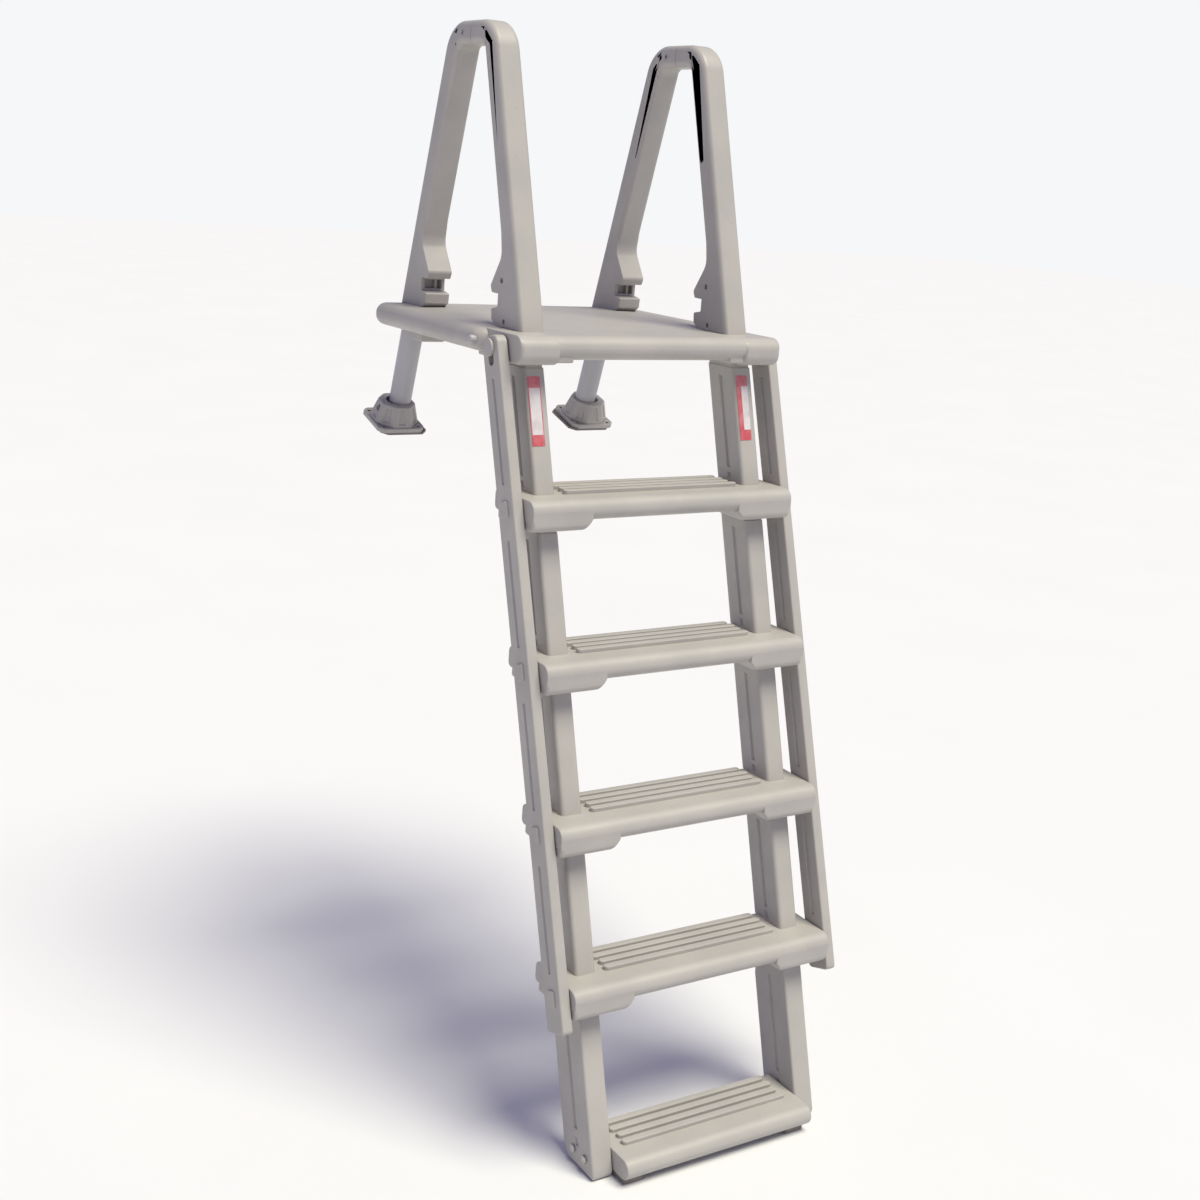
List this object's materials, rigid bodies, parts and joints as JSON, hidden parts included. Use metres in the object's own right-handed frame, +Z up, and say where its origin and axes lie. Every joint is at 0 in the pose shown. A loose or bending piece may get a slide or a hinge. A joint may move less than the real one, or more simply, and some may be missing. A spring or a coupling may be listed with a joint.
{
  "type": "pool ladder",
  "caption": "Above-ground pool ladder with a deck platform, A-frame handrails, slanted ribbed treads, outer side rails and telescoping deck posts.",
  "frame": {"origin": "pool floor, at the centre of the overall box", "axes": "+Z up, +Y from the pool side to the deck side, +X across the ladder to the right of a climber facing it"},
  "size_m": [0.584, 1.0096, 1.846],
  "materials": {
    "shell": "satin moulded plastic",
    "pipe": "smooth pipe",
    "sole": "matt rubber",
    "steel": "stainless",
    "sticker": "vinyl"
  },
  "bodies": {
    "ladder": {"bottom_step": "shell", "handrail_front_left": "shell", "handrail_front_right": "shell", "handrail_rear_left": "shell", "handrail_rear_right": "shell", "handrail_screw_left": "steel", "handrail_screw_right": "steel", "lower_leg_left": "shell", "lower_leg_right": "shell", "platform": "shell", "platform_stud_left": "steel", "platform_stud_right": "steel", "step_bolts_left": "steel", "step_bolts_right": "steel", "step_pad_left": "sole", "step_pad_right": "sole", "sticker_left": "sticker", "sticker_right": "sticker", "tread_1": "shell", "tread_2": "shell", "tread_3": "shell", "tread_4": "shell", "tread_stud_1_left": "shell", "tread_stud_1_right": "shell", "tread_stud_2_left": "shell", "tread_stud_2_right": "shell", "tread_stud_3_left": "shell", "tread_stud_3_right": "shell", "tread_stud_4_left": "shell", "tread_stud_4_right": "shell", "upright_1_left": "shell", "upright_1_right": "shell", "upright_2_left": "shell", "upright_2_right": "shell", "upright_3_left": "shell", "upright_3_right": "shell", "upright_4_left": "shell", "upright_4_right": "shell"},
    "deck_post_left": {"deck_post_left": "pipe", "deck_foot_left": "shell", "foot_pad_left": "sole", "foot_screw_left": "steel"},
    "outer_rail_left": {"outer_rail_left": "shell"},
    "lock_knob_left": {"lock_knob_left": "shell"},
    "deck_post_right": {"deck_post_right": "pipe", "deck_foot_right": "shell", "foot_pad_right": "sole", "foot_screw_right": "steel"},
    "outer_rail_right": {"outer_rail_right": "shell"},
    "lock_knob_right": {"lock_knob_right": "shell"}
  },
  "joints": [
    {"name": "deck_post_left_slide", "type": "slide", "parent": "ladder", "child": "deck_post_left", "axis": [0, 0.2924, -0.9563], "range_m": [-0.045, 0.05]},
    {"name": "outer_rail_left_lift", "type": "slide", "parent": "ladder", "child": "outer_rail_left", "axis": [0, 0.3107, 0.9505], "range_m": [0, 0.022]},
    {"name": "lock_knob_left_push", "type": "slide", "parent": "ladder", "child": "lock_knob_left", "axis": [1, 0, 0], "range_m": [0, 0.005], "stiffness_N_per_m": 600, "springref_m": -0.002},
    {"name": "deck_post_right_slide", "type": "slide", "parent": "ladder", "child": "deck_post_right", "axis": [0, 0.2924, -0.9563], "range_m": [-0.045, 0.05]},
    {"name": "outer_rail_right_lift", "type": "slide", "parent": "ladder", "child": "outer_rail_right", "axis": [0, 0.3107, 0.9505], "range_m": [0, 0.022]},
    {"name": "lock_knob_right_push", "type": "slide", "parent": "ladder", "child": "lock_knob_right", "axis": [-1, 0, 0], "range_m": [0, 0.005], "stiffness_N_per_m": 600, "springref_m": -0.002}
  ]
}
